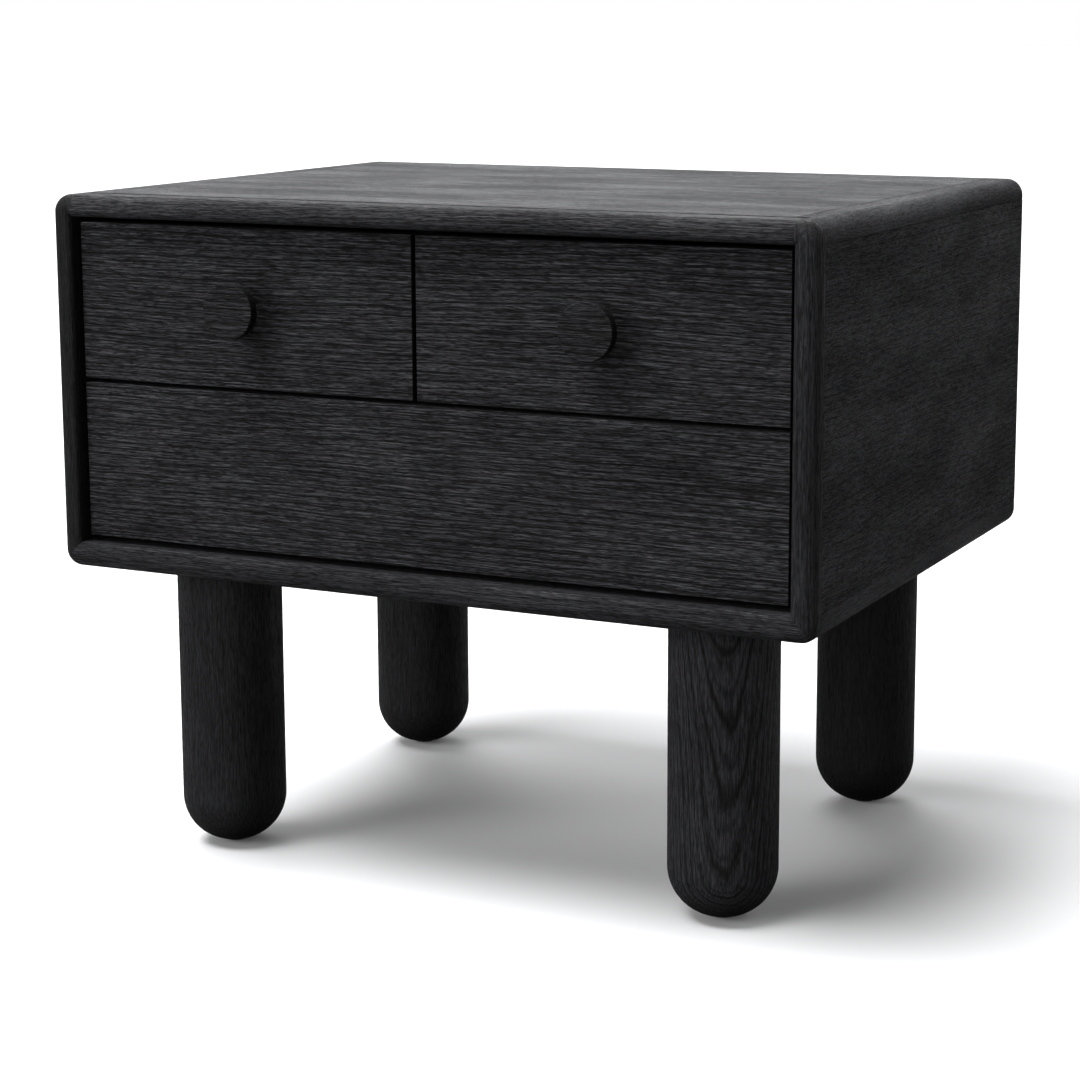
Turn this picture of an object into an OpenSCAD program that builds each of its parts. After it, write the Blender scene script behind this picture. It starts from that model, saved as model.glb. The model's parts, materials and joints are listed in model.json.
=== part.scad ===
// Low nightstand: a case on four round legs, with a rounded front frame, two small
// drawers side by side and one wide drawer below them.
// Millimetres. +X right, the front faces -Y, +Z up. The origin is on the floor, under
// the middle of the whole object, knobs included.

/* [Case] */
// Width of the case
case_w = 600; // [560:10:700]
// Depth of the case, from the face of the front frame to the back
case_d = 460; // [450:10:520]
// Height of the case, without the legs
case_h = 278; // [276:2:320]
// Thickness of the side panels, which is also the width of the stiles
side_t = 18; // [16:1:22]
// Thickness of the top panel, which is also the height of the top rail
top_t = 16; // [16:1:20]
// Thickness of the bottom panel, which is also the height of the bottom rail
bottom_t = 20; // [18:1:22]
// Thickness of the back panel
back_t = 8; // [6:1:10]
// Thickness of the upright board between the two upper drawers
divider_t = 18; // [12:1:20]
// Thickness of the shelf under the upper drawers
shelf_t = 12; // [10:1:14]
// Width of the solid mouldings along the four long corners of the case
moulding_w = 28; // [24:1:40]
// Radius of the four long corners
corner_r = 13; // [12:0.5:15]

/* [Front frame] */
// Depth of the two stiles
stile_d = 12; // [11.5:0.5:16]
// Depth of the two rails
rail_d = 30; // [28:1:40]
// Radius of the frame's outer front edge
outer_r = 11; // [8:0.5:11]
// Radius of the frame's inner front edge
inner_r = 4.5; // [3:0.5:6]

/* [Drawer fronts] */
// How far the drawer fronts stand back from the face of the frame
front_recess = 8.4; // [6:0.2:9]
// Thickness of the drawer fronts
front_t = 18; // [16:1:18]
// Gap beside the outer drawer fronts
side_gap = 3.4; // [2:0.2:4]
// Gap above the upper drawer fronts
top_gap = 3.8; // [2:0.2:4]
// Gap below the lower drawer front
bottom_gap = 4.4; // [3:0.2:5]
// Gap between neighbouring drawer fronts
between_gap = 3; // [2:0.2:4]

/* [Drawer boxes] */
// Length of the drawer boxes, behind their fronts
box_l = 370; // [355:5:370]
// Height of the drawer boxes
box_h = 80; // [60:5:80]
// Thickness of the sides, inner front and back of a drawer box
box_t = 12; // [10:1:15]
// Thickness of the bottom of a drawer box
box_bottom_t = 6; // [4:1:8]

/* [Slides] */
// Length of the telescopic slides
slide_l = 350; // [300:50:350]
// Height of a slide's cabinet member
slide_h = 38; // [35:1:40]
// Thickness of the slides' sheet steel
slide_metal = 1.4; // [1:0.1:1.4]

/* [Knobs] */
// Diameter of a knob's disc
knob_d = 41; // [30:1:50]
// Thickness of a knob's disc
disc_t = 8; // [6:0.5:10]
// Diameter of the stem behind the disc
stem_d = 16; // [12:1:20]
// Length of the stem
stem_l = 12; // [10:1:16]
// Rounding of the disc's edge
disc_edge_r = 1.2; // [0.6:0.2:2]

/* [Legs] */
// Height of the case's underside above the floor
leg_h = 222; // [150:2:300]
// Diameter of a leg
leg_d = 79; // [60:1:90]
// Radius of a leg's round lower end, as a share of the leg's own radius
leg_round_share = 0.92; // [0.5:0.01:0.95]
// Distance from a leg's axis to the side of the case
leg_inset_x = 96; // [90:2:130]
// Distance from a leg's axis to the front and to the back of the case
leg_inset_y = 80; // [76:2:110]

/* [Hidden] */
$fn = 96;

// Colours: black-stained oak, lacquered insides, steel and plastics
oak_black = [0.085, 0.085, 0.09];
oak_side = [0.06, 0.06, 0.065];
box_grey = [0.16, 0.15, 0.145];
steel = [0.62, 0.63, 0.65];
zinc = [0.70, 0.69, 0.66];
plastic = [0.12, 0.12, 0.13];

// A cut reaches this far past the faces that it opens
over = 1;

// The case. Y is measured from the row's origin, which lies under the middle of the
// whole object, so the knobs move the case back.
knob_proud = disc_t + stem_l - front_recess;
case_front = -(case_d + knob_proud) / 2 + knob_proud;
case_back = case_front + case_d;
half_w = case_w / 2;
inner_half = half_w - side_t;
case_low = leg_h;
case_top = leg_h + case_h;
inner_low = case_low + bottom_t;
inner_top = case_top - top_t;
moulding_half = half_w - moulding_w;
panel_front = case_front + rail_d;
side_front = case_front + stile_d;
inner_back = case_back - back_t;

// The back panel lies in a rebate of this width, half as wide as the side panels
rebate = min(side_t, top_t, bottom_t) / 2;

// Drawer fronts: two above, one below, all of one height
front_face = case_front + front_recess;
front_rear = front_face + front_t;
front_h = (inner_top - inner_low - top_gap - bottom_gap - between_gap) / 2;
lower_front_z = inner_low + bottom_gap;
upper_front_z = lower_front_z + front_h + between_gap;

// The shelf and the divider start a little behind the drawer fronts
board_front = front_rear + 2.6;
shelf_mid = upper_front_z - between_gap / 2;
shelf_low = shelf_mid - shelf_t / 2;
shelf_top = shelf_mid + shelf_t / 2;

// Drawer boxes, by drawer: 0 is the upper left, 1 the upper right, 2 the lower one.
// slide_gap is the standard space beside a box for a ball-bearing slide.
slide_gap = 13;
box_lift = 10.7;
front_x = [
    [-inner_half + side_gap, -between_gap / 2],
    [between_gap / 2, inner_half - side_gap],
    [-inner_half + side_gap, inner_half - side_gap]
];
front_z = [upper_front_z, upper_front_z, lower_front_z];
box_x = [
    [-inner_half + slide_gap, -divider_t / 2 - slide_gap],
    [divider_t / 2 + slide_gap, inner_half - slide_gap],
    [-inner_half + slide_gap, inner_half - slide_gap]
];
box_z = [shelf_top + box_lift, shelf_top + box_lift, inner_low + box_lift];
box_rear = front_rear + box_l;
bottom_lift = 8;
groove = 5;

// Slides: three steel members, one inside another, with room for the balls between them
slide_start = front_rear + 4;
slide_lift = 25;
middle_h = slide_h - 2 * slide_metal - 1.2;
runner_h = middle_h - 2 * slide_metal - 1.2;
cabinet_reach = 9.5;
middle_span = [3, 11.2];
runner_span = [5.5, slide_gap];

// Wood screws: drawer fronts are held from inside the box, the back panel from behind
front_screw_d = 4;
front_screw_l = box_t + 10;
front_screw_inset = 34;
front_screw_low = 26;
front_screw_drop = 18;
back_screw_d = 3.5;
back_screw_l = 28;
back_screw_rows = [0.2, 0.5, 0.8];
head_share = 2;
knob_screw_d = 4;
knob_screw_head_d = 8;
knob_screw_head_t = 3;
knob_screw_bite = 9;

// Legs stand on small glides and hang from bolts in threaded inserts
leg_round = leg_round_share * leg_d / 2;
leg_x = half_w - leg_inset_x;
leg_y = [case_front + leg_inset_y, case_back - leg_inset_y];
leg_spots = [for (x = [-leg_x, leg_x], y = leg_y) [x, y]];
glide_d = 16;
glide_t = 4;
glide_proud = 1;
bolt_d = 10;
bolt_in_leg = 45;
insert_d = 14;
insert_l = min(15, bottom_t - 4);
bolt_in_insert = insert_l - 1;

// Push latches: they stand on the back panel and push the lower drawer's back
latch_x = 150;
latch_z = box_z[2] + 42;
latch_w = 20;
latch_front = box_rear + 6;
latch_bore = 9;
latch_floor = 3;
plunger_d = 8;
plunger_l = 34;
plunger_gap = 0.4;
magnet_d = 12;
magnet_t = 3;

// ---------------------------------------------------------------- helpers

// Draws its children once as they are, or mirrored to the left for side = -1
module on_side(side) {
    if (side < 0)
        mirror([1, 0, 0]) children();
    else
        children();
}

// Extrudes an outline in the XZ plane along +Y
module along_y(y0, length) {
    translate([0, y0 + length, 0])
        rotate([90, 0, 0])
            linear_extrude(length)
                children();
}

// Extrudes an outline in the YZ plane along +X
module along_x(x0, length) {
    translate([x0, 0, 0])
        rotate([90, 0, 90])
            linear_extrude(length)
                children();
}

// A block between two corners
module block(low, high) {
    translate(low)
        cube(high - low);
}

// Outline of a bar seen along its length: front at 0, rounded at both front corners
module bar_outline(depth, low, high, radius) {
    translate([radius, low])
        square([depth - radius, high - low]);
    translate([0, low + radius])
        square([depth, high - low - 2 * radius]);
    intersection() {
        translate([0, low])
            square([depth, high - low]);
        for (level = [low + radius, high - radius])
            translate([radius, level])
                circle(radius);
    }
}

// Outline of the frame's opening: it flares out at the front by the inner radius
module opening_outline(depth, low, high) {
    translate([-over, low])
        square([depth + 2 * over, high - low]);
    difference() {
        translate([-over, low - inner_r])
            square([inner_r + over, high - low + 2 * inner_r]);
        for (level = [low - inner_r, high + inner_r])
            translate([inner_r, level])
                circle(inner_r);
    }
}

// The whole front, as a plate with round corners and a rounded front edge
module frame_blank(depth) {
    mid_z = (case_low + case_top) / 2;
    translate([0, case_front, 0]) {
        along_x(corner_r - half_w, case_w - 2 * corner_r)
            bar_outline(depth, case_low, case_top, outer_r);
        translate([0, 0, case_low + corner_r])
            linear_extrude(case_h - 2 * corner_r)
                mirror([1, -1])
                    bar_outline(depth, -half_w, half_w, outer_r);
        for (side = [-1, 1])
            on_side(side) {
                translate([half_w - corner_r, 0, case_top - corner_r])
                    frame_corner(depth, -90);
                translate([half_w - corner_r, 0, case_low + corner_r])
                    frame_corner(depth, 0);
            }
    }
}

// A quarter of a round corner of the frame, centred on the Y axis. It runs from
// start_angle, counted downwards from +X, for 90 degrees.
module frame_corner(depth, start_angle) {
    rotate([-90, 0, 0])
        rotate(start_angle)
            rotate_extrude(angle = 90) {
                translate([0, outer_r])
                    square([corner_r, depth - outer_r]);
                square([corner_r - outer_r, outer_r]);
                intersection() {
                    translate([corner_r - outer_r, outer_r])
                        circle(outer_r);
                    square([corner_r, depth]);
                }
            }
}

// The opening inside the frame, with its flared front edge mitred at the corners
module frame_opening() {
    translate([0, case_front, 0])
        intersection() {
            along_x(-half_w, case_w)
                opening_outline(rail_d, inner_low, inner_top);
            translate([0, 0, case_low])
                linear_extrude(case_h)
                    mirror([1, -1])
                        opening_outline(rail_d, -inner_half, inner_half);
        }
}

// The mitres at the frame's bottom corners run out this far, at 45 degrees
mitre_reach = side_t + over;

// One stile: it runs to the top of the case, and is mitred to the bottom rail
module stile(side) {
    on_side(side)
        difference() {
            intersection() {
                frame_blank(stile_d);
                along_y(case_front - over, stile_d + 2 * over)
                    polygon([
                        [inner_half, inner_low],
                        [inner_half + mitre_reach, inner_low - mitre_reach],
                        [inner_half + mitre_reach, case_top + over],
                        [inner_half, case_top + over]
                    ]);
            }
            frame_opening();
        }
}

// Outline of a corner moulding, on the right: one outer corner is rounded
module moulding_outline(low, high, round_top) {
    arc_z = round_top ? high - corner_r : low + corner_r;
    translate([moulding_half, low])
        square([moulding_w - corner_r, high - low]);
    translate([moulding_half, round_top ? low : arc_z])
        square([moulding_w, high - low - corner_r]);
    intersection() {
        translate([half_w - corner_r, arc_z])
            circle(corner_r);
        translate([moulding_half, low])
            square([moulding_w, high - low]);
    }
}

// A corner moulding: solid wood along the length of the case, notched around the end
// of the rail. side is -1 for the left, 1 for the right.
module corner_moulding(side, low, high, round_top) {
    on_side(side)
        difference() {
            along_y(side_front, case_back - side_front)
                moulding_outline(low, high, round_top);
            block(
                [moulding_half - over, side_front - over, low - over],
                [inner_half, panel_front, high + over]
            );
            back_rebate();
        }
}

// The rebate that holds the back panel
module back_rebate() {
    block(
        [-inner_half - rebate, inner_back, inner_low - rebate],
        [inner_half + rebate, case_back + over, inner_top + rebate]
    );
}

// A countersunk wood screw with its head at the origin, pointing along -Z
module wood_screw(diameter, length) {
    head_d = head_share * diameter;
    translate([0, 0, -(head_d - diameter) / 2])
        cylinder(h = (head_d - diameter) / 2, d1 = diameter, d2 = head_d);
    translate([0, 0, -length])
        cylinder(h = length - (head_d - diameter) / 2, d = diameter);
}

// The screws around the edge of the back panel, three along each side of it
module back_screw_group() {
    edge_x = inner_half + rebate / 2;
    edge_z = [inner_low - rebate / 2, inner_top + rebate / 2];
    level_spots = [for (row = back_screw_rows, z = edge_z) [(2 * row - 1) * edge_x, z]];
    upright_spots = [
        for (row = back_screw_rows, x = [-edge_x, edge_x])
            [x, edge_z[0] + row * (edge_z[1] - edge_z[0])]
    ];
    for (spot = concat(level_spots, upright_spots))
        translate([spot[0], case_back, spot[1]])
            rotate([-90, 0, 0])
                wood_screw(back_screw_d, back_screw_l);
}

// Where the four screws of a drawer front stand, seen from the front
function front_screw_spots(drawer) = [
    for (
        x = [box_x[drawer][0] + front_screw_inset, box_x[drawer][1] - front_screw_inset],
        z = [box_z[drawer] + front_screw_low, box_z[drawer] + box_h - front_screw_drop]
    ) [x, z]
];

// The screws between a drawer's inner front and its front
module front_screw_group(drawer) {
    for (spot = front_screw_spots(drawer))
        translate([spot[0], front_rear + box_t, spot[1]])
            rotate([-90, 0, 0])
                wood_screw(front_screw_d, front_screw_l);
}

// Centre of a knob, on the face of its drawer's front
function knob_centre(drawer) = [
    (front_x[drawer][0] + front_x[drawer][1]) / 2,
    front_face,
    front_z[drawer] + front_h / 2
];

// The screw that holds a knob, from inside the drawer, with its head let in
module knob_screw_body(drawer) {
    centre = knob_centre(drawer);
    head_y = front_rear + box_t;
    translate([centre[0], head_y, centre[2]])
        rotate([90, 0, 0]) {
            cylinder(h = knob_screw_head_t, d = knob_screw_head_d);
            cylinder(h = box_t + front_t + knob_screw_bite, d = knob_screw_d);
        }
}

// A turned knob: a flat disc with a softened edge on a short round stem
module knob(drawer) {
    difference() {
        translate(knob_centre(drawer))
            rotate([90, 0, 0])
                rotate_extrude() {
                    square([stem_d / 2, stem_l]);
                    translate([0, stem_l])
                        square([knob_d / 2 - disc_edge_r, disc_t]);
                    translate([0, stem_l + disc_edge_r])
                        square([knob_d / 2, disc_t - 2 * disc_edge_r]);
                    for (level = [disc_edge_r, disc_t - disc_edge_r])
                        translate([knob_d / 2 - disc_edge_r, stem_l + level])
                            circle(disc_edge_r);
                }
        knob_screw_body(drawer);
    }
}

// A drawer's outer front
module drawer_front(drawer) {
    difference() {
        block(
            [front_x[drawer][0], front_face, front_z[drawer]],
            [front_x[drawer][1], front_rear, front_z[drawer] + front_h]
        );
        front_screw_group(drawer);
        if (drawer < 2)
            knob_screw_body(drawer);
    }
}

// The bottom of a drawer box: it sits in grooves in all four sides of the box
module box_bottom(drawer) {
    block(
        [
            box_x[drawer][0] + box_t - groove,
            front_rear + box_t - groove,
            box_z[drawer] + bottom_lift
        ],
        [
            box_x[drawer][1] - box_t + groove,
            box_rear - box_t + groove,
            box_z[drawer] + bottom_lift + box_bottom_t
        ]
    );
}

// The inner front of a drawer box, between its sides
module box_inner_front(drawer) {
    difference() {
        block(
            [box_x[drawer][0] + box_t, front_rear, box_z[drawer]],
            [box_x[drawer][1] - box_t, front_rear + box_t, box_z[drawer] + box_h]
        );
        box_bottom(drawer);
        front_screw_group(drawer);
        if (drawer < 2)
            knob_screw_body(drawer);
    }
}

// The back of a drawer box, between its sides
module box_back(drawer) {
    difference() {
        block(
            [box_x[drawer][0] + box_t, box_rear - box_t, box_z[drawer]],
            [box_x[drawer][1] - box_t, box_rear, box_z[drawer] + box_h]
        );
        box_bottom(drawer);
    }
}

// One side of a drawer box. side is 0 for the left, 1 for the right.
module box_side(drawer, side) {
    low_x = side == 0 ? box_x[drawer][0] : box_x[drawer][1] - box_t;
    difference() {
        block(
            [low_x, front_rear, box_z[drawer]],
            [low_x + box_t, box_rear, box_z[drawer] + box_h]
        );
        box_bottom(drawer);
    }
}

// A slide member's outline, a channel that opens towards +X or -X.
// span is the member's low and high X, height its full height.
module channel_outline(span, height, opens_right) {
    web_x = opens_right ? span[0] : span[1] - slide_metal;
    translate([web_x, -height / 2])
        square([slide_metal, height]);
    for (z = [-height / 2, height / 2 - slide_metal])
        translate([span[0], z])
            square([span[1] - span[0], slide_metal]);
}

// Both slides of a drawer, as one kind of member. The outline is drawn for the left
// slide, with X counted from the wall that carries it.
module slide_pair(drawer) {
    z = box_z[drawer] + slide_lift;
    translate([box_x[drawer][0] - slide_gap, 0, z])
        along_y(slide_start, slide_l)
            children();
    translate([box_x[drawer][1] + slide_gap, 0, z])
        mirror([1, 0, 0])
            along_y(slide_start, slide_l)
                children();
}

module cabinet_slides(drawer) {
    color(steel)
        slide_pair(drawer)
            channel_outline([0, cabinet_reach], slide_h, true);
}

module middle_slides(drawer) {
    color(steel)
        slide_pair(drawer)
            channel_outline(middle_span, middle_h, true);
}

module drawer_slides(drawer) {
    color(steel)
        slide_pair(drawer)
            channel_outline(runner_span, runner_h, false);
}

// A leg's outline: straight above, round below, with a flat where the glide sits
module leg_outline() {
    radius = leg_d / 2;
    translate([0, leg_round])
        square([radius, leg_h - glide_proud - leg_round]);
    square([radius - leg_round, leg_round]);
    intersection() {
        translate([radius - leg_round, leg_round])
            circle(leg_round);
        square([radius, leg_round]);
    }
}

// A leg, drilled for its bolt above and for its glide below
module leg(x, y) {
    color(oak_black)
        translate([x, y, 0])
            difference() {
                translate([0, 0, glide_proud])
                    rotate_extrude()
                        leg_outline();
                translate([0, 0, leg_h - bolt_in_leg])
                    cylinder(h = bolt_in_leg + over, d = bolt_d);
                translate([0, 0, -over])
                    cylinder(h = glide_t + over, d = glide_d);
            }
}

// ---------------------------------------------------------------- front frame

module frame_top_rail() {
    color(oak_black)
        difference() {
            intersection() {
                frame_blank(rail_d);
                block(
                    [-inner_half, case_front - over, inner_top],
                    [inner_half, panel_front + over, case_top + over]
                );
            }
            frame_opening();
        }
}

module frame_bottom_rail() {
    color(oak_black)
        difference() {
            union() {
                intersection() {
                    frame_blank(rail_d);
                    block(
                        [-inner_half, case_front - over, case_low - over],
                        [inner_half, panel_front + over, inner_low]
                    );
                }
                intersection() {
                    frame_blank(stile_d);
                    along_y(case_front - over, stile_d + 2 * over)
                        polygon([
                            [-inner_half, inner_low],
                            [inner_half, inner_low],
                            [inner_half + mitre_reach, inner_low - mitre_reach],
                            [inner_half + mitre_reach, case_low - mitre_reach],
                            [-inner_half - mitre_reach, case_low - mitre_reach],
                            [-inner_half - mitre_reach, inner_low - mitre_reach]
                        ]);
                }
            }
            frame_opening();
        }
}

module frame_left_stile() {
    color(oak_black)
        stile(-1);
}

module frame_right_stile() {
    color(oak_black)
        stile(1);
}

// ---------------------------------------------------------------- case

module top_panel() {
    color(oak_black)
        difference() {
            block(
                [-moulding_half, panel_front, inner_top],
                [moulding_half, case_back, case_top]
            );
            back_rebate();
            back_screw_group();
        }
}

module bottom_panel() {
    color(oak_black)
        difference() {
            block(
                [-moulding_half, panel_front, case_low],
                [moulding_half, case_back, inner_low]
            );
            back_rebate();
            back_screw_group();
            for (spot = leg_spots)
                translate([spot[0], spot[1], case_low - over])
                    cylinder(h = insert_l + over, d = insert_d);
        }
}

module side_panel(side) {
    color(oak_side)
        difference() {
            on_side(side)
                difference() {
                    block(
                        [inner_half, side_front, inner_low],
                        [half_w, case_back, inner_top]
                    );
                    back_rebate();
                }
            back_screw_group();
        }
}

module left_side_panel() {
    side_panel(-1);
}

module right_side_panel() {
    side_panel(1);
}

module top_left_corner_moulding() {
    color(oak_black)
        corner_moulding(-1, inner_top, case_top, true);
}

module top_right_corner_moulding() {
    color(oak_black)
        corner_moulding(1, inner_top, case_top, true);
}

module bottom_left_corner_moulding() {
    color(oak_black)
        corner_moulding(-1, case_low, inner_low, false);
}

module bottom_right_corner_moulding() {
    color(oak_black)
        corner_moulding(1, case_low, inner_low, false);
}

module back_panel() {
    color(oak_side)
        difference() {
            block(
                [-inner_half - rebate, inner_back, inner_low - rebate],
                [inner_half + rebate, case_back, inner_top + rebate]
            );
            back_screw_group();
        }
}

module back_panel_screws() {
    color(zinc)
        back_screw_group();
}

module centre_divider() {
    color(oak_side)
        block(
            [-divider_t / 2, board_front, shelf_top],
            [divider_t / 2, inner_back, inner_top]
        );
}

module middle_shelf() {
    color(oak_side)
        block(
            [-inner_half, board_front, shelf_low],
            [inner_half, inner_back, shelf_top]
        );
}

// ---------------------------------------------------------------- legs

module front_left_leg() {
    leg(-leg_x, leg_y[0]);
}

module front_right_leg() {
    leg(leg_x, leg_y[0]);
}

module back_left_leg() {
    leg(-leg_x, leg_y[1]);
}

module back_right_leg() {
    leg(leg_x, leg_y[1]);
}

module leg_bolts() {
    color(zinc)
        for (spot = leg_spots)
            translate([spot[0], spot[1], leg_h - bolt_in_leg])
                cylinder(h = bolt_in_leg + bolt_in_insert, d = bolt_d);
}

module leg_inserts() {
    color(zinc)
        for (spot = leg_spots)
            translate([spot[0], spot[1], case_low])
                difference() {
                    cylinder(h = insert_l, d = insert_d);
                    translate([0, 0, -over])
                        cylinder(h = insert_l + 2 * over, d = bolt_d);
                }
}

module foot_glides() {
    color(plastic)
        for (spot = leg_spots)
            translate([spot[0], spot[1], 0])
                cylinder(h = glide_t, d = glide_d);
}

// ---------------------------------------------------------------- slides

module left_cabinet_slides() {
    cabinet_slides(0);
}

module right_cabinet_slides() {
    cabinet_slides(1);
}

module lower_cabinet_slides() {
    cabinet_slides(2);
}

module left_middle_slides() {
    middle_slides(0);
}

module right_middle_slides() {
    middle_slides(1);
}

module lower_middle_slides() {
    middle_slides(2);
}

module left_drawer_slides() {
    drawer_slides(0);
}

module right_drawer_slides() {
    drawer_slides(1);
}

module lower_drawer_slides() {
    drawer_slides(2);
}

// ---------------------------------------------------------------- push latches

module push_latch_bodies() {
    color(plastic)
        for (x = [-latch_x, latch_x])
            difference() {
                block(
                    [x - latch_w / 2, latch_front, latch_z - latch_w / 2],
                    [x + latch_w / 2, inner_back, latch_z + latch_w / 2]
                );
                along_y(latch_front - over, inner_back - latch_floor - latch_front + over)
                    translate([x, latch_z])
                        circle(d = latch_bore);
            }
}

module push_latch_plungers() {
    tip_y = box_rear + plunger_gap;
    color(plastic)
        for (x = [-latch_x, latch_x])
            translate([x, 0, latch_z]) {
                along_y(tip_y, magnet_t)
                    circle(d = magnet_d);
                along_y(tip_y, magnet_t + plunger_l)
                    circle(d = plunger_d);
            }
}

// ---------------------------------------------------------------- left drawer

module left_drawer_front() {
    color(oak_black)
        drawer_front(0);
}

module left_drawer_inner_front() {
    color(box_grey)
        box_inner_front(0);
}

module left_drawer_left_side() {
    color(box_grey)
        box_side(0, 0);
}

module left_drawer_right_side() {
    color(box_grey)
        box_side(0, 1);
}

module left_drawer_back() {
    color(box_grey)
        box_back(0);
}

module left_drawer_bottom() {
    color(box_grey)
        box_bottom(0);
}

module left_drawer_knob() {
    color(oak_black)
        knob(0);
}

module left_knob_screw() {
    color(zinc)
        knob_screw_body(0);
}

module left_front_screws() {
    color(zinc)
        front_screw_group(0);
}

// ---------------------------------------------------------------- right drawer

module right_drawer_front() {
    color(oak_black)
        drawer_front(1);
}

module right_drawer_inner_front() {
    color(box_grey)
        box_inner_front(1);
}

module right_drawer_left_side() {
    color(box_grey)
        box_side(1, 0);
}

module right_drawer_right_side() {
    color(box_grey)
        box_side(1, 1);
}

module right_drawer_back() {
    color(box_grey)
        box_back(1);
}

module right_drawer_bottom() {
    color(box_grey)
        box_bottom(1);
}

module right_drawer_knob() {
    color(oak_black)
        knob(1);
}

module right_knob_screw() {
    color(zinc)
        knob_screw_body(1);
}

module right_front_screws() {
    color(zinc)
        front_screw_group(1);
}

// ---------------------------------------------------------------- lower drawer

module lower_drawer_front() {
    color(oak_black)
        drawer_front(2);
}

module lower_drawer_inner_front() {
    color(box_grey)
        box_inner_front(2);
}

module lower_drawer_left_side() {
    color(box_grey)
        box_side(2, 0);
}

module lower_drawer_right_side() {
    color(box_grey)
        box_side(2, 1);
}

module lower_drawer_back() {
    color(box_grey)
        box_back(2);
}

module lower_drawer_bottom() {
    color(box_grey)
        box_bottom(2);
}

module lower_front_screws() {
    color(zinc)
        front_screw_group(2);
}

frame_top_rail();
frame_bottom_rail();
frame_left_stile();
frame_right_stile();
top_panel();
bottom_panel();
left_side_panel();
right_side_panel();
top_left_corner_moulding();
top_right_corner_moulding();
bottom_left_corner_moulding();
bottom_right_corner_moulding();
back_panel();
back_panel_screws();
centre_divider();
middle_shelf();
front_left_leg();
front_right_leg();
back_left_leg();
back_right_leg();
leg_bolts();
leg_inserts();
foot_glides();
left_cabinet_slides();
right_cabinet_slides();
lower_cabinet_slides();
left_middle_slides();
right_middle_slides();
lower_middle_slides();
left_drawer_slides();
right_drawer_slides();
lower_drawer_slides();
push_latch_bodies();
push_latch_plungers();
left_drawer_front();
left_drawer_inner_front();
left_drawer_left_side();
left_drawer_right_side();
left_drawer_back();
left_drawer_bottom();
left_drawer_knob();
left_knob_screw();
left_front_screws();
right_drawer_front();
right_drawer_inner_front();
right_drawer_left_side();
right_drawer_right_side();
right_drawer_back();
right_drawer_bottom();
right_drawer_knob();
right_knob_screw();
right_front_screws();
lower_drawer_front();
lower_drawer_inner_front();
lower_drawer_left_side();
lower_drawer_right_side();
lower_drawer_back();
lower_drawer_bottom();
lower_front_screws();
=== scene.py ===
"""Looks of the black oak nightstand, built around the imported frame.

Every CAD node gets a piece of its own. Boards and hardware are copies of the nodes with
softened edges. The front frame, mouldings, legs and knobs are made anew from outlines at a
finer step, placed by the nodes' boxes. All lengths are in metres.
"""

import math

import bmesh
import bpy
from mathutils import Matrix, Vector
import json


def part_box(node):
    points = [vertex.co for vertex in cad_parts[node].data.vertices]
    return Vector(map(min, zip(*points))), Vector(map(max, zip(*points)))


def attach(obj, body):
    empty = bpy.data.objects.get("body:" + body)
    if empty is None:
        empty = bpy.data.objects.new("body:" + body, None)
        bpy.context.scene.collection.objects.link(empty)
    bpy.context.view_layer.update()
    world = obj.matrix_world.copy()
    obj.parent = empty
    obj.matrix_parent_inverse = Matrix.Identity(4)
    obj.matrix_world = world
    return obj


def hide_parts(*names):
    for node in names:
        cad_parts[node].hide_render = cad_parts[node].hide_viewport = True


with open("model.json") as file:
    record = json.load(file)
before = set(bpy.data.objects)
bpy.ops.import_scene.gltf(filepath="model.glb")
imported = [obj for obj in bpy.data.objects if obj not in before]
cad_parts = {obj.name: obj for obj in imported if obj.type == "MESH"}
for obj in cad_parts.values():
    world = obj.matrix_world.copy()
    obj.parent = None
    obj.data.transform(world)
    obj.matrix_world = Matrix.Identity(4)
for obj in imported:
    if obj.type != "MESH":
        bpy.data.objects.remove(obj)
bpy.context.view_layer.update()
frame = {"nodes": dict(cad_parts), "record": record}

MM = 0.001
BODY_OF = {
    node: body
    for body, nodes in frame["record"]["behaviour"]["bodies"].items()
    for node in nodes
}

# ---------------------------------------------------------------- sizes, from the frame

TOP_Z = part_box("top_panel")[1].z
UNDER_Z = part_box("bottom_panel")[0].z
INNER_TOP_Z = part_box("top_panel")[0].z
INNER_LOW_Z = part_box("bottom_panel")[1].z
FRONT_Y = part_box("frame_top_rail")[0].y
HALF_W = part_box("top_right_corner_moulding")[1].x
INNER_HALF_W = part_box("frame_top_rail")[1].x
STILE_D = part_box("frame_right_stile")[1].y - FRONT_Y
RAIL_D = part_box("frame_top_rail")[1].y - FRONT_Y

# Softening of the edges that meet at a seam: on the frame and mouldings, and on the panels.
# Panels are softened only along edges longer than LONG, which leaves their screw holes
# sharp. The top rail falls away to the top panel by SEAM_DROP over its last SEAM_SLOPE.
SEAM = 0.9 * MM
PANEL_SEAM = 0.5 * MM
SHORTEST = 0.6 * MM
LONG = 5 * MM
SEAM_SLOPE = 6 * MM
SEAM_DROP = 1.6 * MM

# Softening of the drawer fronts, drawer boxes and hardware
FRONT_EDGE = 0.6 * MM
BOX_EDGE = 0.5 * MM
METAL_EDGE = 0.25 * MM

# Radii of the frame's outer and inner front edges and of the case's long corners
OUTER_R = 11 * MM
INNER_R = 4.5 * MM
CORNER_R = 13 * MM

# Legs: radius of the rounded foot as a share of the leg's, radius of the glide, how far the
# foot stays off the floor, and the chamfer at the top
FOOT_ROUND = 0.92
GLIDE_R = 8 * MM
FOOT_GAP = 1 * MM
LEG_CHAMFER = 0.5 * MM

# Knobs: radius and length of the stem, and radius of the disc's edges
STEM_R = 8 * MM
STEM_L = 12 * MM
KNOB_EDGE = 1.2 * MM

# How far cutting shapes reach past what they cut
OVER = 5 * MM


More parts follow.
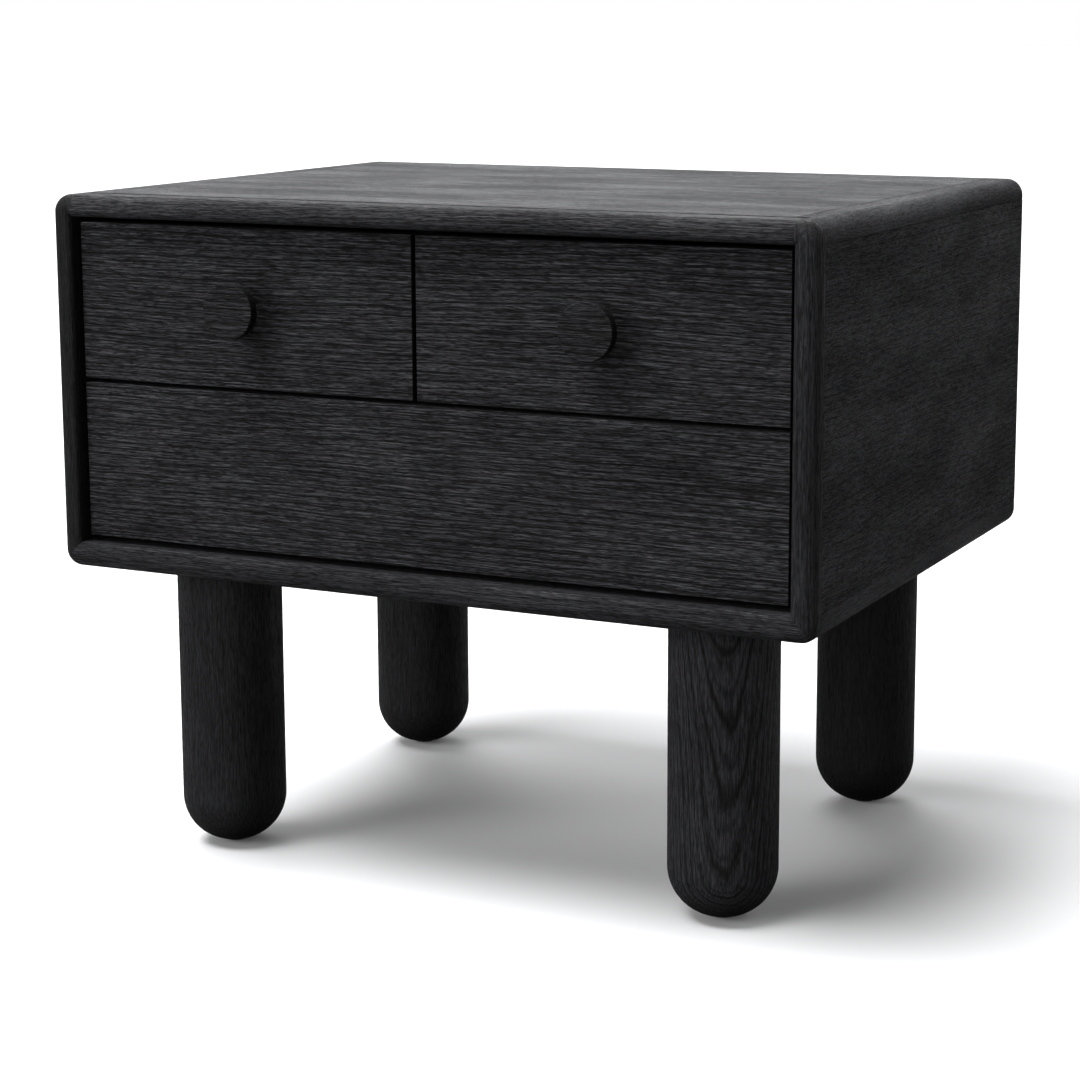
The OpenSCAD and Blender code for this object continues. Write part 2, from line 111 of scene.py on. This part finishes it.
# ---------------------------------------------------------------- finish and light

OAK_COLOUR = (0.0495, 0.0500, 0.0555)
OAK_SPECULAR = 0.15
SIDE_SPECULAR = 0.04
OAK_RELIEF = 0.0005
CLOUDY = 0.2
# Share of the colour left on end grain: more stain there, and painted shade on the knobs' side
# walls
END_GRAIN_STAIN_AND_SHADE = 0.25
PLY_COLOUR = (0.05, 0.048, 0.046)

# Growth rings: their spacing on a board, and the direction in which they follow each other,
# as (along the grain, across it, into the wood). On round pieces they show on every side.
RING_GAP = 0.0052
ACROSS = (0.0, 1.0, 0.35)
DIAGONAL = (0.0, 0.7, 0.7)
LEG_RING_GAP = 0.0036

# The same direction in each leg, as (up, X, Y), how strong its rings show, and a factor on
# its colour that paints the shade that falls on each leg, darkest at the back right.
# A slope between up and the face shows as nested arches on that face.
LEG_CUTS = {
    "front_left_leg": ((0.03, 0.95, 0.3), 0.3, 0.47),
    "front_right_leg": ((0.09, 0.43, -0.9), 0.85, 0.85),
    "back_left_leg": ((-0.05, 0.8, -0.6), 0.4, 0.36),
    "back_right_leg": ((0.04, 0.9, 0.4), 0.3, 0.22),
}

# How strong the fibres show in each member of the frame, and a factor on its colour that
# paints the light and shade that falls on it, darkest on the left stile
FRAME_WOOD = {
    "frame_top_rail": (0.7, 0.72),
    "frame_bottom_rail": (0.7, 0.85),
    "frame_right_stile": (0.6, 0.56),
    "frame_left_stile": (0.6, 0.26),
}

# Light from the surround: (direction, full inside this angle, none outside this, strength).
# In order: overhead, key at the front left, fill at the front right, wall behind on the
# left, the same higher up, strip behind on the right, and fill at the back right.
SKY_LEVEL = 0.06
SKY_TINT = (0.985, 0.99, 1.0, 1.0)
SKY_LIGHTS = (
    ((-0.3, -0.2, 1.0), 9, 24, 14.5),
    ((-0.55, -0.75, 0.25), 11, 24, 7.0),
    ((0.6, -0.79, 0.1), 10, 40, 0.5),
    ((-0.43, 0.89, 0.12), 20, 42, 1.5),
    ((-0.41, 0.57, 0.7), 8, 26, 3.6),
    ((0.2, 0.88, 0.4), 8, 22, 0.5),
    ((0.75, 0.6, 0.28), 10, 40, 0.75),
)

# Share of the floor's colour that reflections and bounced light see
FLOOR_BOUNCE = 0.16


# ---------------------------------------------------------------- mesh helpers


def new_object(name, bm):
    """A mesh object from a bmesh, which is freed."""
    mesh = bpy.data.meshes.new(name)
    bmesh.ops.recalc_face_normals(bm, faces=bm.faces)
    bm.to_mesh(mesh)
    bm.free()
    obj = bpy.data.objects.new(name, mesh)
    bpy.context.scene.collection.objects.link(obj)
    return obj


def apply_modifiers(obj):
    """Bakes an object's modifiers into its mesh."""
    bpy.context.view_layer.update()
    graph = bpy.context.evaluated_depsgraph_get()
    mesh = bpy.data.meshes.new_from_object(obj.evaluated_get(graph))
    old = obj.data
    obj.modifiers.clear()
    obj.data = mesh
    mesh.name = obj.name
    bpy.data.meshes.remove(old)


def boolean(obj, other, operation):
    """Cuts obj with other, or keeps what they share, and removes other."""
    mod = obj.modifiers.new("boolean", "BOOLEAN")
    mod.operation = operation
    mod.solver = "EXACT"
    mod.object = other
    apply_modifiers(obj)
    bpy.data.objects.remove(other)


def soften(obj, width, shortest=0.0, sharp=35):
    """Joins flat faces, then rounds every edge that is longer than shortest and turns by
    more than sharp degrees."""
    bm = bmesh.new()
    bm.from_mesh(obj.data)
    bmesh.ops.remove_doubles(bm, verts=bm.verts, dist=1e-6)
    bmesh.ops.dissolve_limit(
        bm, angle_limit=math.radians(0.5), verts=bm.verts, edges=bm.edges
    )
    weight = bm.edges.layers.float.new("bevel_weight_edge")
    for edge in bm.edges:
        turns = edge.calc_face_angle(0.0) > math.radians(sharp)
        edge[weight] = float(turns and edge.calc_length() > shortest)
    bm.to_mesh(obj.data)
    bm.free()
    mod = obj.modifiers.new("edge", "BEVEL")
    mod.width = width
    mod.segments = 3
    mod.limit_method = "WEIGHT"
    apply_modifiers(obj)
    smooth(obj)


def smooth(obj, angle=40):
    """Smooth shading, with edges sharper than angle left crisp and flat faces kept flat."""
    mesh = obj.data
    mesh.polygons.foreach_set("use_smooth", [True] * len(mesh.polygons))
    mesh.set_sharp_from_angle(angle=math.radians(angle))
    mod = obj.modifiers.new("normals", "WEIGHTED_NORMAL")
    mod.keep_sharp = True
    apply_modifiers(obj)


def copy_of(node):
    """A new object with the shape of a CAD node."""
    bm = bmesh.new()
    bm.from_mesh(frame["nodes"][node].data)
    bmesh.ops.remove_doubles(bm, verts=bm.verts, dist=1e-6)
    return new_object("look_" + node, bm)


def prism(name, outline, axis, start, end):
    """An outline of 2-D points, extruded along axis. The points are (x, z) along Y, (y, z)
    along X and (x, y) along Z."""
    places = {
        "X": lambda p, d: (d, p[0], p[1]),
        "Y": lambda p, d: (p[0], d, p[1]),
        "Z": lambda p, d: (p[0], p[1], d),
    }
    place = places[axis]
    bm = bmesh.new()
    rings = [[bm.verts.new(place(p, d)) for p in outline] for d in (start, end)]
    bm.faces.new(rings[0])
    bm.faces.new(list(reversed(rings[1])))
    join_rings(bm, rings)
    return new_object(name, bm)


def box_outline(low_a, high_a, low_b, high_b):
    """The outline of a rectangle."""
    return [(low_a, low_b), (high_a, low_b), (high_a, high_b), (low_a, high_b)]


def join_rings(bm, rings):
    """Quads between each ring of vertices and the next, all of one length."""
    for low, high in zip(rings, rings[1:]):
        count = len(low)
        for i in range(count):
            j = (i + 1) % count
            bm.faces.new((low[i], high[i], high[j], low[j]))


def arc(centre, radius, start, end, steps):
    """Points on an arc, with angles in degrees."""
    points = []
    for i in range(steps + 1):
        a = math.radians(start + (end - start) * i / steps)
        points.append((centre[0] + radius * math.cos(a), centre[1] + radius * math.sin(a)))
    return points


def lathe(name, profile, centre, axis, segments):
    """A turned solid. profile is (radius, height) from one end of the axis to the other,
    and both its ends lie on the axis."""
    turn = {"Z": Matrix.Identity(4), "-Y": Matrix.Rotation(math.radians(90), 4, "X")}[axis]
    place = Matrix.Translation(centre) @ turn
    bm = bmesh.new()
    rings = []
    for radius, height in profile[1:-1]:
        ring = []
        for i in range(segments):
            a = 2 * math.pi * i / segments
            point = Vector((radius * math.cos(a), radius * math.sin(a), height))
            ring.append(bm.verts.new(place @ point))
        rings.append(ring)
    join_rings(bm, rings)
    for ring, (radius, height) in ((rings[0], profile[0]), (rings[-1], profile[-1])):
        tip = bm.verts.new(place @ Vector((0, 0, height)))
        for i in range(segments):
            bm.faces.new((ring[i], ring[(i + 1) % segments], tip))
    return new_object(name, bm)


# ---------------------------------------------------------------- materials


class Graph:
    """Short names for building a node tree."""

    def __init__(self, tree):
        self.nodes = tree.nodes
        self.links = tree.links
        self.nodes.clear()

    def add(self, kind, **inputs):
        """A node of a kind, with its inputs set. See set."""
        return self.set(self.nodes.new("ShaderNode" + kind), **inputs)

    def set(self, node, **inputs):
        """Sets or links inputs by name, with underscores for spaces, or by number as i0."""
        for key, value in inputs.items():
            by_number = key[0] == "i" and key[1:].isdigit()
            socket = node.inputs[int(key[1:]) if by_number else key.replace("_", " ")]
            if isinstance(value, bpy.types.NodeSocket):
                self.links.new(value, socket)
            else:
                socket.default_value = value
        return node

    def math(self, operation, a, b=0.0, clamp=False):
        node = self.add("Math", i0=a, i1=b)
        node.operation = operation
        node.use_clamp = clamp
        return node.outputs[0]

    def vector(self, operation, a, b):
        """Vector arithmetic. A dot product gives a number."""
        node = self.nodes.new("ShaderNodeVectorMath")
        node.operation = operation
        self.set(node, i0=a, i1=b)
        return node.outputs["Value" if operation == "DOT_PRODUCT" else "Vector"]

    def span(self, value, low, high, to_low=0.0, to_high=1.0):
        """A smooth step from to_low to to_high while value goes from low to high."""
        node = self.nodes.new("ShaderNodeMapRange")
        node.interpolation_type = "SMOOTHSTEP"
        self.set(node, i0=value, i1=low, i2=high, i3=to_low, i4=to_high)
        return node.outputs[0]

    def noise(self, vector, detail=2.0, roughness=0.5, scale=1.0):
        node = self.add("TexNoise", Vector=vector, Scale=scale, Detail=detail, Roughness=roughness)
        return node.outputs["Fac"]

    def object_point(self):
        return self.nodes.new("ShaderNodeTexCoord").outputs["Object"]

    def split(self, vector):
        return self.add("SeparateXYZ", i0=vector).outputs

    def combine(self, x, y, z):
        return self.add("CombineXYZ", i0=x, i1=y, i2=z).outputs[0]

    def between(self, factor, a, b):
        """A colour between a and b."""
        node = self.nodes.new("ShaderNodeMix")
        node.data_type = "RGBA"
        self.set(node, i0=factor, i6=(*a, 1.0), i7=(*b, 1.0))
        return node.outputs[2]


def new_material(name, specular=0.5, metallic=0.0):
    """A material with one principled shader. Returns the material, its graph and shader."""
    material = bpy.data.materials.new(name)
    material.use_nodes = True
    g = Graph(material.node_tree)
    shader = g.add("BsdfPrincipled", Metallic=metallic, Specular_IOR_Level=specular)
    g.add("OutputMaterial", Surface=shader.outputs[0])
    return material, g, shader


def finish(g, shader, colour, roughness, height, depth):
    """Links a material's colour, roughness and relief, whose full depth is given."""
    bump = g.add("Bump", Strength=1.0, Distance=depth, Height=height)
    g.set(shader, Base_Color=colour, Roughness=roughness, Normal=bump.outputs[0])


def grain_space(g, along, offset):
    """Object coordinates turned so that X runs along the grain, Y across it on the face and
    Z into the wood, shifted by a piece's own offset."""
    x, y, z = g.split(g.object_point())
    order = {"X": (x, z, y), "Y": (y, z, x), "Z": (z, x, y), "FLAT": (x, y, z)}[along]
    return g.vector("ADD", g.combine(*order), offset)


def oak(name, along, offset, cut=ACROSS, rings=1.0, fibres=0.6, tone_and_painted_light=1.0, gap=RING_GAP,
        specular=OAK_SPECULAR, short=1.0):
    """Black-stained, brushed oak. offset moves the pattern, so that no two boards match. cut
    is the direction, in grain space, in which the growth rings follow each other, and gap is
    their spacing. rings and fibres are how strong each shows, the factor on the colour sets
    the piece's tone and also paints the light and shade that falls on the piece, and short is
    how many times shorter the fibres are."""
    material, g, shader = new_material(name, specular)
    space = grain_space(g, along, offset)
    length = g.split(space)[0]

    # growth rings: lines bent by slow and quick noise, and broken along their length
    slow = g.noise(g.vector("MULTIPLY", space, (2.6, 11.0, 9.0)))
    quick = g.noise(g.vector("MULTIPLY", space, (22.0, 60.0, 50.0)))
    bend = g.math("ADD", g.math("MULTIPLY", slow, 24 * MM), g.math("MULTIPLY", quick, 2.8 * MM))
    place = g.math("ADD", g.vector("DOT_PRODUCT", space, cut), bend)
    line = 0.0
    for share, width, strength in ((1.0, 0.22, 1.0), (0.43, 0.32, 0.62)):
        turns = g.math("DIVIDE", place, gap * share)
        beside = g.math("ABSOLUTE", g.math("SUBTRACT", g.math("FRACT", turns), 0.5))
        ring = g.math("MULTIPLY", g.math("FLOOR", turns), 7.3)
        broken = g.noise(g.combine(g.math("MULTIPLY", length, 18.0), ring, 0.0))
        drawn = g.span(beside, 0.0, width, strength, 0.0)
        dash = g.math("MULTIPLY", drawn, g.span(broken, 0.32, 0.48))
        line = g.math("MAXIMUM", line, dash)

    # fibres and open pores between them, long along the grain
    streaks = g.vector("MULTIPLY", space, (44.0 * short, 1050.0, 1050.0))
    fibre = g.span(g.noise(streaks, 4.0, 0.7), 0.4, 0.6)
    dots = g.vector("MULTIPLY", space, (150.0 * short, 1600.0, 1600.0))
    pore = g.span(g.noise(dots, 1.0), 0.46, 0.62)

    # stain: cloudy, and thin on the ridges that the brush has left
    cloud = g.noise(g.vector("MULTIPLY", space, (6.0, 20.0, 14.0)), 3.0, 0.6)
    # the piece's colour factor sets its tone and paints the light and shade that falls on it
    tone = g.span(cloud, 0.3, 0.7, tone_and_painted_light * (1 - CLOUDY), tone_and_painted_light * (1 + CLOUDY))
    for part, dark in ((line, 0.95 * rings), (fibre, fibres), (pore, fibres)):
        tone = g.math("MULTIPLY", tone, g.math("SUBTRACT", 1.0, g.math("MULTIPLY", part, dark)))

    # faces across the grain are darkened to a set share of the colour: end grain takes more
    # stain, and the same darkening paints the shade on the knobs' side walls
    normal = g.split(g.nodes.new("ShaderNodeTexCoord").outputs["Normal"])
    end = g.math("ABSOLUTE", normal[{"X": 0, "Y": 1, "Z": 2, "FLAT": 0}[along]])
    tone = g.math("MULTIPLY", tone, g.span(end, 0.3, 0.9, 1.0, END_GRAIN_STAIN_AND_SHADE))
    colour = g.vector("MULTIPLY", g.combine(tone, tone, tone), OAK_COLOUR)

    # relief: lines, fibres and pores lie below the ridges
    dip = g.math("MULTIPLY", line, 0.5 * rings)
    dip = g.math("ADD", dip, g.math("MULTIPLY", fibre, 0.55 * fibres))
    dip = g.math("ADD", dip, g.math("MULTIPLY", pore, 0.5 * fibres))
    roughness = g.math("ADD", g.span(dip, 0.0, 0.9, 0.0, 0.4), g.span(cloud, 0.3, 0.7, 0.52, 0.36))
    finish(g, shader, colour, roughness, g.math("SUBTRACT", 1.2, dip), OAK_RELIEF)
    return material


def plain_wood(name, colour, along):
    """Dark lacquered ply for the drawer boxes: a closed, fine grain."""
    material, g, shader = new_material(name)
    space = grain_space(g, along, (0.0, 0.0, 0.0))
    fine = g.noise(g.vector("MULTIPLY", space, (12.0, 260.0, 260.0)), 3.0, 0.6)
    slow = g.noise(g.vector("MULTIPLY", space, (4.0, 22.0, 22.0)))
    mixed = g.math("ADD", g.math("MULTIPLY", fine, 0.6), g.math("MULTIPLY", slow, 0.4))
    dark = [c * 0.7 for c in colour]
    light = [c * 1.25 for c in colour]
    tint = g.between(g.span(mixed, 0.35, 0.65), dark, light)
    finish(g, shader, tint, g.span(fine, 0.3, 0.7, 0.42, 0.56), fine, 0.05 * MM)
    return material


def metal(name, colour, low, high):
    """Zinc-plated steel: drawn lines along the piece and a slightly cloudy shine."""
    material, g, shader = new_material(name, metallic=1.0)
    lines = g.noise(g.vector("MULTIPLY", g.object_point(), (900.0, 12.0, 900.0)), 2.0, 0.6)
    cloud = g.noise(g.object_point(), 3.0, 0.6, 45.0)
    dark = [c * 0.82 for c in colour]
    tint = g.between(g.span(cloud, 0.35, 0.65), dark, colour)
    finish(g, shader, tint, g.span(lines, 0.3, 0.7, low, high), lines, 0.01 * MM)
    return material


def plastic(name, colour):
    """Moulded nylon with a fine spark texture."""
    material, g, shader = new_material(name)
    spark = g.noise(g.object_point(), 2.0, 0.6, 2600.0)
    dark = [c * 0.8 for c in colour]
    tint = g.between(g.span(spark, 0.35, 0.65), dark, colour)
    finish(g, shader, tint, g.span(spark, 0.3, 0.7, 0.45, 0.6), spark, 0.03 * MM)
    return material


def paint(obj, material):
    obj.data.materials.clear()
    obj.data.materials.append(material)


def stand_for(obj, node, material):
    """obj takes a CAD node's place, body and finish."""
    paint(obj, material)
    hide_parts(node)
    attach(obj, BODY_OF[node])


# ---------------------------------------------------------------- camera, light and floor


def camera():
    """A studio camera at the front right, a little above the top."""
    data = bpy.data.cameras.new("camera")
    data.sensor_width = 36.0
    data.lens = 86.12
    data.shift_x = -0.0463
    data.shift_y = -0.0741
    data.clip_start = 0.05
    data.clip_end = 50.0
    cam = bpy.data.objects.new("camera", data)
    bpy.context.scene.collection.objects.link(cam)
    cam.location = (0.8715, -1.5416 + FRONT_Y, 0.6329)
    yaw = math.radians(25.43)
    pitch = math.radians(9.90)
    roll = math.radians(-0.08)
    cam.rotation_euler = (
        Matrix.Rotation(yaw, 3, "Z")
        @ Matrix.Rotation(math.radians(90) - pitch, 3, "X")
        @ Matrix.Rotation(roll, 3, "Z")
    ).to_euler()
    bpy.context.scene.camera = cam


def sky():
    """A white surround for the camera, and soft light from SKY_LIGHTS on the object."""
    world = bpy.data.worlds.new("sky")
    world.use_nodes = True
    g = Graph(world.node_tree)
    direction = g.add("TexCoord").outputs["Generated"]
    level = SKY_LEVEL
    for aim, inner, outer, strength in SKY_LIGHTS:
        facing = g.vector("DOT_PRODUCT", direction, Vector(aim).normalized())
        edges = (math.cos(math.radians(outer)), math.cos(math.radians(inner)))
        level = g.math("ADD", level, g.span(facing, *edges, 0.0, strength))
    light = g.add("Background", Color=SKY_TINT, Strength=level)
    white = g.add("Background", Color=(1.0, 1.0, 1.0, 1.0))
    seen = g.add("LightPath").outputs["Is Camera Ray"]
    mix = g.add("MixShader", i0=seen, i1=light.outputs[0], i2=white.outputs[0])
    g.add("OutputWorld", Surface=mix.outputs[0])
    bpy.context.scene.world = world


def floor():
    """A pale, matt floor. It is darker in reflections and for the light it throws back, as
    if the object stood on a small white sheet in a dark room."""
    bm = bmesh.new()
    bmesh.ops.create_grid(bm, x_segments=4, y_segments=4, size=40.0)
    obj = new_object("floor", bm)
    material, g, shader = new_material("floor_white", 0.1)
    tone = g.noise(g.object_point(), scale=1.5)
    seen = g.add("LightPath").outputs["Is Camera Ray"]
    tint = g.between(tone, (0.86, 0.86, 0.86), (0.89, 0.89, 0.89))
    strength = g.span(seen, 0.0, 1.0, FLOOR_BOUNCE, 1.0)
    colour = g.vector("MULTIPLY", tint, g.combine(strength, strength, strength))
    g.set(shader, Base_Color=colour, Roughness=0.9)
    paint(obj, material)


# ---------------------------------------------------------------- front frame


def plate(name, depth):
    """The front as a plate with round corners and a rounded front edge."""
    half_h = (TOP_Z - UNDER_Z) / 2
    mid_z = (TOP_Z + UNDER_Z) / 2
    corners = ((1, 1, 0), (-1, 1, 90), (-1, -1, 180), (1, -1, 270))
    steps = 14

    def ring(bm, inset, y):
        verts = []
        for sx, sz, start in corners:
            centre = (sx * (HALF_W - CORNER_R), mid_z + sz * (half_h - CORNER_R))
            for x, z in arc(centre, CORNER_R - inset, start, start + 90, steps):
                verts.append(bm.verts.new((x, y, z)))
        return verts

    bm = bmesh.new()
    rings = [ring(bm, 0.0, FRONT_Y + depth)]
    for x, y in arc((0.0, OUTER_R), OUTER_R, 0, -90, steps):
        rings.append(ring(bm, OUTER_R - x, FRONT_Y + y))
    join_rings(bm, rings)
    bm.faces.new(rings[0])
    bm.faces.new(rings[-1])
    return new_object(name, bm)


def opening(name):
    """The opening in the frame, flared and mitred at the front."""
    bm = bmesh.new()

    def ring(grow, y):
        x = INNER_HALF_W + grow
        corners = (
            (x, INNER_TOP_Z + grow),
            (-x, INNER_TOP_Z + grow),
            (-x, INNER_LOW_Z - grow),
            (x, INNER_LOW_Z - grow),
        )
        return [bm.verts.new((cx, FRONT_Y + y, cz)) for cx, cz in corners]

    rings = [ring(0.0, RAIL_D + OVER)]
    for x, y in arc((INNER_R, INNER_R), INNER_R, 180, 270, 10):
        rings.append(ring(x, y))
    rings.append(ring(INNER_R, -OVER))
    join_rings(bm, rings)
    bm.faces.new(rings[0])
    bm.faces.new(rings[-1])
    return new_object(name, bm)


def frame_member(node, depth, region):
    """One stile or rail: the part of the front plate that lies in region, an outline in X
    and Z, without the opening."""
    obj = plate("look_" + node, depth)
    slab = prism("region", region, "Y", FRONT_Y - OVER, FRONT_Y + depth + OVER)
    boolean(obj, slab, "INTERSECT")
    boolean(obj, opening("cut"), "DIFFERENCE")
    return obj


def front_frame():
    """The frame's stiles and rails. The bottom rail has mitred ends of the stiles' depth."""
    reach = HALF_W - INNER_HALF_W + OVER
    x0, x1 = INNER_HALF_W, INNER_HALF_W + reach
    mitre_z = INNER_LOW_Z - reach
    stile = [(x0, INNER_LOW_Z), (x1, mitre_z), (x1, TOP_Z + OVER), (x0, TOP_Z + OVER)]
    top = box_outline(-x0, x0, INNER_TOP_Z - OVER, TOP_Z + OVER)
    ends = [
        (-x0, INNER_LOW_Z + OVER), (-x0, INNER_LOW_Z), (-x1, mitre_z), (-x1, mitre_z - OVER),
        (x1, mitre_z - OVER), (x1, mitre_z), (x0, INNER_LOW_Z), (x0, INNER_LOW_Z + OVER),
    ]
    middle = box_outline(-x0, x0, UNDER_Z - OVER, INNER_LOW_Z + OVER)
    mirrored = [(-x, z) for x, z in reversed(stile)]

    members = {
        "frame_top_rail": (frame_member("frame_top_rail", RAIL_D, top), "X"),
        "frame_right_stile": (frame_member("frame_right_stile", STILE_D, stile), "Z"),
        "frame_left_stile": (frame_member("frame_left_stile", STILE_D, mirrored), "Z"),
    }
    seam_y = FRONT_Y + RAIL_D
    wedge = [
        (seam_y - SEAM_SLOPE, TOP_Z),
        (seam_y, TOP_Z - SEAM_DROP),
        (seam_y + OVER, TOP_Z - SEAM_DROP),
        (seam_y + OVER, TOP_Z + OVER),
        (seam_y - SEAM_SLOPE, TOP_Z + OVER),
    ]
    boolean(members["frame_top_rail"][0], prism("wedge", wedge, "X", -HALF_W, HALF_W), "DIFFERENCE")
    bottom = frame_member("frame_bottom_rail", RAIL_D, middle)
    boolean(bottom, frame_member("frame_bottom_rail", STILE_D, ends), "UNION")
    members["frame_bottom_rail"] = (bottom, "X")
    for i, (node, (obj, along)) in enumerate(members.items()):
        soften(obj, SEAM, SHORTEST)
        fibres, tone_and_painted_light = FRAME_WOOD[node]
        offset = (0.37 * i, 0.013 * i, 0.05 * i)
        wood = oak("oak_" + node, along, offset, DIAGONAL, 0.5, fibres, tone_and_painted_light)
        stand_for(obj, node, wood)


# ---------------------------------------------------------------- case


def moulding(node, side, is_top):
    """A corner moulding with one round corner, notched at the rail and at the back panel."""
    low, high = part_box(node)
    inner_x = min(abs(low.x), abs(high.x))
    if is_top:
        outline = [(inner_x, low.z), (HALF_W, low.z)]
        outline += arc((HALF_W - CORNER_R, high.z - CORNER_R), CORNER_R, 0, 90, 16)
        outline += [(inner_x, high.z)]
    else:
        outline = [(inner_x, high.z), (inner_x, low.z)]
        outline += arc((HALF_W - CORNER_R, low.z + CORNER_R), CORNER_R, -90, 0, 16)
        outline += [(HALF_W, high.z)]
    if side < 0:
        outline = [(-x, z) for x, z in reversed(outline)]
    obj = prism("look_" + node, outline, "Y", low.y, high.y)
    ends = sorted((side * (inner_x - OVER), side * INNER_HALF_W))
    notch = box_outline(*ends, low.z - OVER, high.z + OVER)
    boolean(obj, prism("notch", notch, "Y", low.y - OVER, FRONT_Y + RAIL_D), "DIFFERENCE")
    panel_low, panel_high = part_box("back_panel")
    rebate = box_outline(panel_low.x, panel_high.x, panel_low.z, panel_high.z)
    boolean(obj, prism("rebate", rebate, "Y", panel_low.y, panel_high.y + OVER), "DIFFERENCE")
    return obj


def case():
    """The corner mouldings and all flat boards of the case."""
    for i, (node, side, is_top) in enumerate((
        ("top_left_corner_moulding", -1, True),
        ("top_right_corner_moulding", 1, True),
        ("bottom_left_corner_moulding", -1, False),
        ("bottom_right_corner_moulding", 1, False),
    )):
        obj = moulding(node, side, is_top)
        soften(obj, SEAM, SHORTEST)
        wood = oak("oak_" + node, "Y", (0.21 * i, 0.031 * i, 0.3), DIAGONAL, 0.2, 0.4, 0.7,
                   specular=SIDE_SPECULAR, short=2.0)
        stand_for(obj, node, wood)

    side_look = {"fibres": 0.6, "tone_and_painted_light": 0.9, "specular": SIDE_SPECULAR, "short": 3.0}
    panels = {
        "top_panel": ("FLAT", "black_oak", {"rings": 0.8, "fibres": 0.5}),
        "bottom_panel": ("FLAT", "black_oak", {"rings": 0.6, "fibres": 0.5, "tone_and_painted_light": 0.9}),
        "left_side_panel": ("Y", "black_oak", {"rings": 0.35, **side_look}),
        "right_side_panel": ("Y", "black_oak", {"rings": 0.35, **side_look}),
        "back_panel": ("X", "back_board", {"rings": 0.4, "tone_and_painted_light": 0.8}),
        "centre_divider": ("Y", "back_board", {"rings": 0.3, "tone_and_painted_light": 0.8}),
        "middle_shelf": ("FLAT", "back_board", {"rings": 0.3, "tone_and_painted_light": 0.8}),
    }
    for i, (node, (along, slot_name, look)) in enumerate(panels.items()):
        obj = copy_of(node)
        soften(obj, PANEL_SEAM, LONG)
        offset = (0.9 + 0.43 * i, 0.07 * i, 0.11 * i)
        wood = oak("oak_" + node, along, offset, **look)
        stand_for(obj, node, wood)


# ---------------------------------------------------------------- legs


def legs():
    """Four turned legs with rounded feet, each resting on a glide."""
    glide_low, glide_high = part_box("foot_glides")
    base = glide_low.z + FOOT_GAP
    for i, (node, (cut, rings, tone_and_painted_light)) in enumerate(LEG_CUTS.items()):
        low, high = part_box(node)
        radius = (high.x - low.x) / 2
        round_r = FOOT_ROUND * radius
        x, y = (low.x + high.x) / 2, (low.y + high.y) / 2
        start = math.degrees(math.asin((GLIDE_R - (radius - round_r)) / round_r)) - 90
        profile = [(0.0, glide_high.z), (GLIDE_R, glide_high.z)]
        profile += arc((radius - round_r, base + round_r), round_r, start, 0, 28)
        profile += [(radius, high.z - LEG_CHAMFER), (radius - LEG_CHAMFER, high.z), (0.0, high.z)]
        obj = lathe("look_" + node, profile, Vector((x, y, 0)), "Z", 128)
        smooth(obj)
        wood = oak("oak_" + node, "Z", (0.57 * i, -x, -y), cut, rings, 0.6, tone_and_painted_light, LEG_RING_GAP)
        stand_for(obj, node, wood)


# ---------------------------------------------------------------- drawers


def knob(node):
    """A round disc on a stem."""
    low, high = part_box(node)
    radius = (high.x - low.x) / 2
    depth = high.y - low.y
    profile = [(0.0, 0.0), (STEM_R, 0.0), (STEM_R, STEM_L)]
    profile += arc((radius - KNOB_EDGE, STEM_L + KNOB_EDGE), KNOB_EDGE, -90, 0, 5)
    profile += arc((radius - KNOB_EDGE, depth - KNOB_EDGE), KNOB_EDGE, 0, 90, 5)
    profile += [(0.0, depth)]
    centre = Vector(((low.x + high.x) / 2, high.y, (low.z + high.z) / 2))
    obj = lathe("look_" + node, profile, centre, "-Y", 120)
    smooth(obj)
    return obj


# Parts of a drawer box, with the direction of their grain
BOX_PARTS = (
    ("inner_front", "X"),
    ("back", "X"),
    ("left_side", "Y"),
    ("right_side", "Y"),
    ("bottom", "FLAT"),
)


def drawers():
    """Fronts, boxes and knobs of the three drawers. One grain runs across all fronts."""
    ply = {}
    for along in ("X", "Y", "FLAT"):
        ply[along] = plain_wood("ply_" + along.lower(), PLY_COLOUR, along)
    fronts = oak("oak_fronts", "X", (0.0, 0.0, 0.0), fibres=0.8, tone_and_painted_light=1.08)
    knobs = oak("oak_knobs", "X", (0.0, 0.004, 0.0), fibres=0.8, tone_and_painted_light=0.75)
    for name in ("left_drawer", "right_drawer", "lower_drawer"):
        front = copy_of(name + "_front")
        soften(front, FRONT_EDGE, SHORTEST)
        stand_for(front, name + "_front", fronts)
        for part, along in BOX_PARTS:
            obj = copy_of(name + "_" + part)
            soften(obj, BOX_EDGE, SHORTEST)
            stand_for(obj, name + "_" + part, ply[along])
    for node in ("left_drawer_knob", "right_drawer_knob"):
        stand_for(knob(node), node, knobs)


# ---------------------------------------------------------------- hardware


def hardware():
    """Slides, screws, bolts, latches and glides."""
    finishes = {
        "slide_steel": metal("slide_steel", (0.56, 0.57, 0.58), 0.28, 0.42),
        "zinc_steel": metal("zinc_steel", (0.6, 0.59, 0.56), 0.3, 0.45),
        "black_plastic": plastic("black_plastic", (0.03, 0.03, 0.032)),
    }
    for part in frame["record"]["subparts"]:
        if part["material_slot"] not in finishes:
            continue
        obj = copy_of(part["node"])
        soften(obj, METAL_EDGE)
        stand_for(obj, part["node"], finishes[part["material_slot"]])


camera()
sky()
floor()
bpy.context.scene.view_settings.view_transform = "Standard"
front_frame()
case()
legs()
drawers()
hardware()
